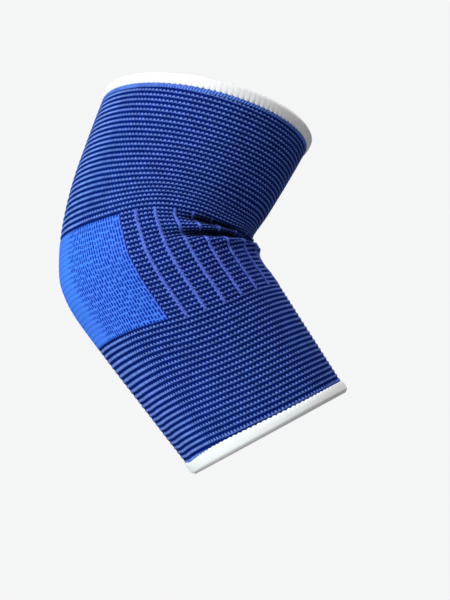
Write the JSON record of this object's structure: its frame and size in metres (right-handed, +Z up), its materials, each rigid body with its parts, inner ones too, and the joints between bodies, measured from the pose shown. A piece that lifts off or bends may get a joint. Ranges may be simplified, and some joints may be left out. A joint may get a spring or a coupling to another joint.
{
  "type": "elbow brace",
  "caption": "Bent knitted elbow sleeve, open from end to end, with a plain patch over the elbow, a lined flex panel round the crook and a sewn hem at each end.",
  "frame": {"origin": "in the hollow at the elbow, where the middle lines of the upper arm and the forearm meet", "axes": "+X towards the front of the arm, where the crook is; +Z up, the upper arm leaning 22.5 degrees from it and the forearm 35 degrees; -Y the side seen in the picture"},
  "size_m": [0.1464, 0.1016, 0.1969],
  "materials": {
    "hem": "soft white elastic overlock",
    "rib_knit": "blue courses over navy, elastic rib knit",
    "flex_knit": "dark rib knit with raised blue lines",
    "patch_knit": "plain bright blue fine knit"
  },
  "bodies": {
    "root": {"upper_hem": "hem", "upper_sleeve": "rib_knit", "elbow_patch": "patch_knit", "flex_panel": "flex_knit", "forearm_sleeve": "rib_knit", "forearm_hem": "hem"}
  },
  "joints": []
}
